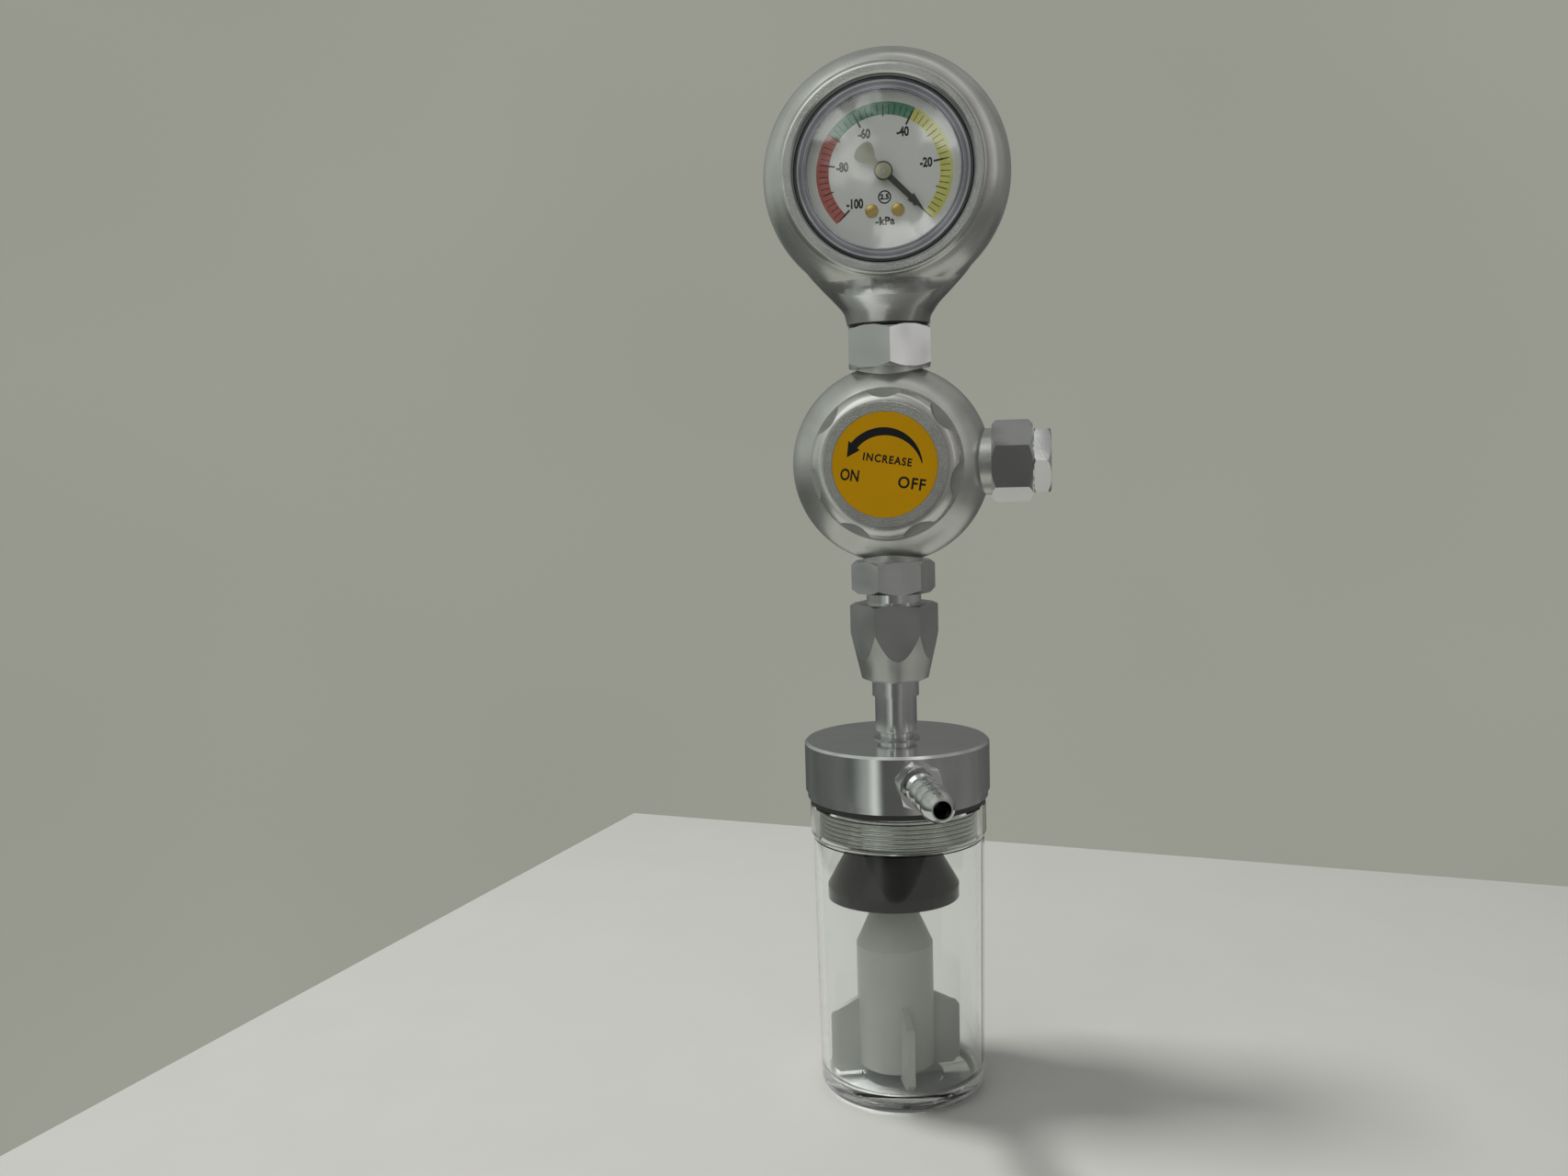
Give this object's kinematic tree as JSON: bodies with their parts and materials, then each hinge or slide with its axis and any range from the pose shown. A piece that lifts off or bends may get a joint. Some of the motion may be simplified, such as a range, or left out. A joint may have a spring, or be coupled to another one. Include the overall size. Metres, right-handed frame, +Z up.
{
  "type": "vacuum regulator",
  "caption": "Suction regulator on a clear overflow jar: float, chromed lid with hose barb, union, ball valve body with a lobed knob, and a round vacuum gauge.",
  "frame": {"origin": "middle of the jar's flat foot, on the surface that the object stands on", "axes": "+Z up along the jar, union and gauge; -Y is the front, where knob and dial face; +X is the side of the inlet fitting"},
  "size_m": [0.0905, 0.09, 0.3395],
  "materials": {
    "clear_plastic": "clear moulded, polished",
    "clear_window": "clear, polished",
    "black_rubber": "smooth",
    "white_plastic": "satin",
    "chrome_plate": "mirror plate",
    "satin_plate": "fine turned and milled, plated",
    "satin_aluminium": "satin, turned",
    "brass": "machined",
    "bronze": "drawn tube",
    "steel": "machined",
    "dial_white": "matt print",
    "pointer_black": "matt",
    "label_yellow": "printed film"
  },
  "bodies": {
    "jar": {"jar": "clear_plastic"},
    "float": {"float": "white_plastic", "float_cap": "black_rubber"},
    "gasket": {"jar_gasket": "black_rubber"},
    "head": {"lid": "chrome_plate", "hose_barb": "chrome_plate", "tube_washer": "steel", "outlet_tube": "chrome_plate", "hex_adapter": "satin_plate", "union_tailpiece": "chrome_plate", "union_seal": "black_rubber", "lower_union_nut": "satin_plate", "regulator_body": "satin_aluminium", "bonnet": "brass", "bonnet_seal": "black_rubber", "spindle_packing": "black_rubber", "valve_seat": "brass", "side_seal": "black_rubber", "side_union_nut": "chrome_plate", "side_nipple": "chrome_plate", "gauge_nut": "chrome_plate", "gauge_seal": "black_rubber", "gauge_gasket": "black_rubber", "gauge_housing": "satin_aluminium", "lens": "clear_window", "lens_seal": "black_rubber", "dial": "dial_white", "dial_screws": "brass", "gauge_socket": "brass", "bourdon_tube": "bronze", "front_plate": "brass", "back_plate": "brass", "plate_pillars": "brass"},
    "valve": {"valve_disc": "brass", "valve_pad": "black_rubber"},
    "knob": {"knob": "satin_aluminium", "knob_label": "label_yellow", "knob_screw": "steel", "spindle": "steel"},
    "pointer": {"pointer": "pointer_black", "pointer_arbor": "brass"},
    "sector": {"sector_gear": "brass"},
    "link": {"tip_link": "brass"}
  },
  "joints": [
    {"name": "float_rise", "type": "slide", "parent": "jar", "child": "float", "axis": [0, 0, 1], "range_m": [0, 0.0089]},
    {"name": "lid_lift", "type": "slide", "parent": "jar", "child": "gasket", "axis": [0, 0, 1], "range_m": [0, 0.0105]},
    {"name": "lid_turn", "type": "hinge", "parent": "gasket", "child": "head", "pos_m": [0, 0, 0.0983], "axis": [0, 0, 1], "range_deg": [0, 2520]},
    {"name": "valve_lift", "type": "slide", "parent": "head", "child": "valve", "axis": [0, -1, 0], "range_m": [0, 0.0025]},
    {"name": "knob_turn", "type": "hinge", "parent": "valve", "child": "knob", "pos_m": [0, 0, 0.2083], "axis": [0, -1, 0], "range_deg": [0, 720]},
    {"name": "pointer_swing", "type": "hinge", "parent": "head", "child": "pointer", "pos_m": [0, 0, 0.3], "axis": [0, -1, 0], "range_deg": [0, 270.1]},
    {"name": "sector_swing", "type": "hinge", "parent": "head", "child": "sector", "pos_m": [0, 0, 0.286], "axis": [0, -1, 0], "range_deg": [-45.01, 0], "stiffness_Nm_per_rad": 0.002, "springref_deg": 17.19},
    {"name": "link_swing", "type": "hinge", "parent": "sector", "child": "link", "pos_m": [0.00658, 0, 0.28361], "axis": [0, -1, 0], "range_deg": [0, 45.02]}
  ],
  "couplings": [
    {"joint": "lid_lift", "follows": "lid_turn", "m_per_rad": 0.0002387},
    {"joint": "valve_lift", "follows": "knob_turn", "m_per_rad": 0.0001989},
    {"joint": "pointer_swing", "follows": "sector_swing", "ratio": -6},
    {"joint": "link_swing", "follows": "sector_swing", "ratio": -1}
  ]
}
